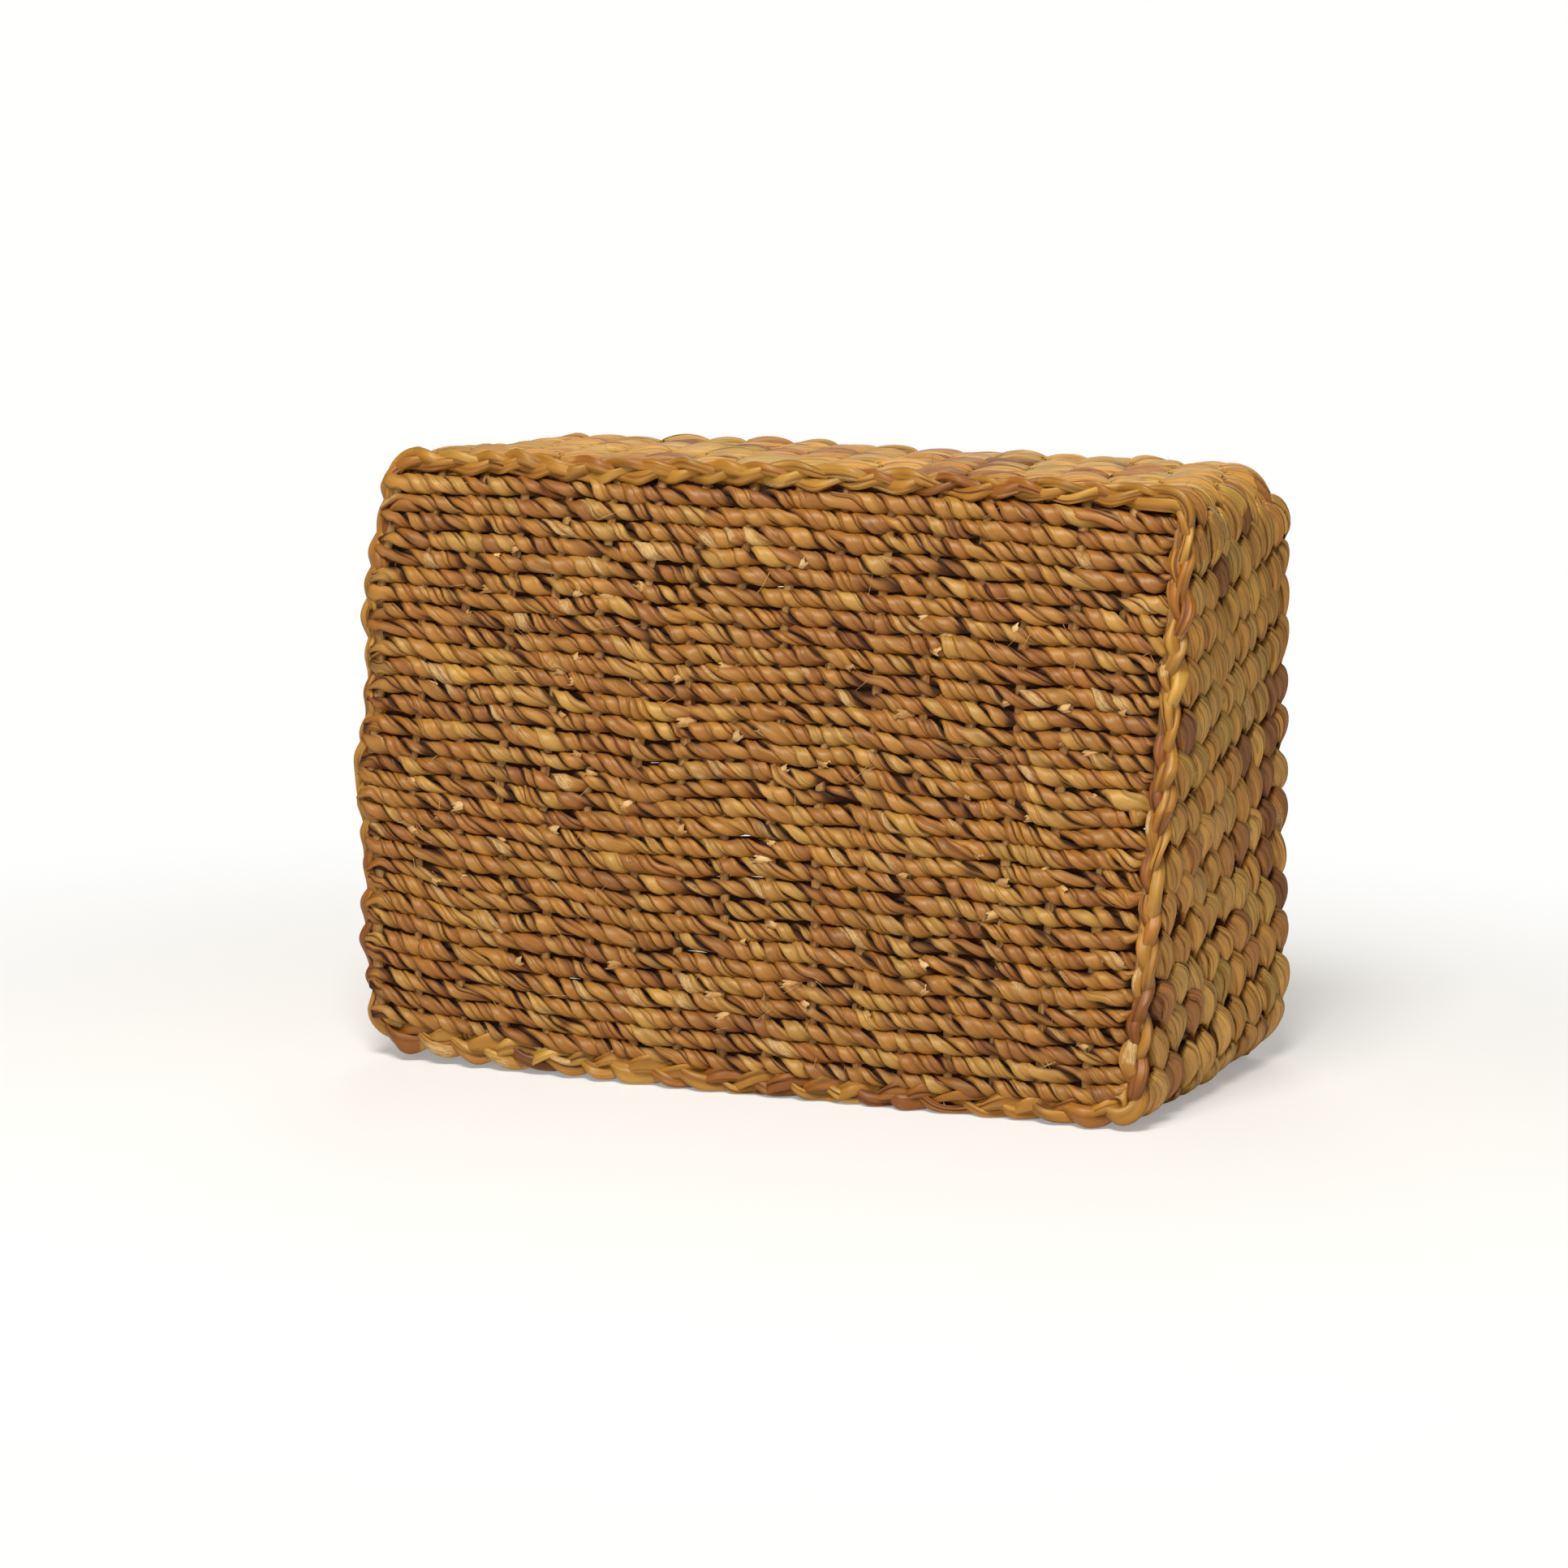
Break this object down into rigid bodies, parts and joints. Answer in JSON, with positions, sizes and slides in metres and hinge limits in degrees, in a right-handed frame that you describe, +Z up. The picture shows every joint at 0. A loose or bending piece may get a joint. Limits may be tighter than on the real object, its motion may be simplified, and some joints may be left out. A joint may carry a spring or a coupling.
{
  "type": "water hyacinth basket",
  "caption": "Rectangular open basket twined from leaf strands round reed stakes, with rounded corners, a flat twined base and a rope foot round its edge.",
  "frame": {"origin": "middle of the side that the basket lies on: centre of the box in X and Y, lowest point in Z", "axes": "the basket lies on one long wall as pictured: +X along its length, +Y from its underside towards its open mouth, +Z up across its width"},
  "size_m": [0.415, 0.195, 0.3],
  "materials": {
    "wall_leaf": "matt khaki-tan dried leaf with fine fibre grooves",
    "base_leaf": "satin golden-brown twisted leaf",
    "rope_leaf": "satin golden-brown two-strand rope",
    "reed": "matt brown reed"
  },
  "bodies": {
    "root": {"base_row_01": "base_leaf", "base_row_02": "base_leaf", "base_row_03": "base_leaf", "base_row_04": "base_leaf", "base_row_05": "base_leaf", "base_row_06": "base_leaf", "base_row_07": "base_leaf", "base_row_08": "base_leaf", "base_row_09": "base_leaf", "base_row_10": "base_leaf", "base_row_11": "base_leaf", "base_row_12": "base_leaf", "base_row_13": "base_leaf", "base_row_14": "base_leaf", "base_row_15": "base_leaf", "base_row_16": "base_leaf", "base_row_17": "base_leaf", "base_row_18": "base_leaf", "base_row_19": "base_leaf", "base_row_20": "base_leaf", "base_row_21": "base_leaf", "base_row_22": "base_leaf", "base_row_23": "base_leaf", "base_row_24": "base_leaf", "base_row_25": "base_leaf", "base_row_26": "base_leaf", "base_row_27": "base_leaf", "base_row_28": "base_leaf", "base_row_29": "base_leaf", "base_row_30": "base_leaf", "end_stakes_left": "reed", "end_stakes_right": "reed", "foot_rope": "rope_leaf", "stake_pair_01": "reed", "stake_pair_02": "reed", "stake_pair_03": "reed", "stake_pair_04": "reed", "stake_pair_05": "reed", "stake_pair_06": "reed", "stake_pair_07": "reed", "stake_pair_08": "reed", "stake_pair_09": "reed", "wall_course_01": "wall_leaf", "wall_course_02": "wall_leaf", "wall_course_03": "wall_leaf", "wall_course_04": "wall_leaf", "wall_course_05": "wall_leaf", "wall_course_06": "wall_leaf", "wall_course_07": "wall_leaf", "wall_course_08": "wall_leaf", "wall_course_09": "wall_leaf"}
  },
  "joints": []
}
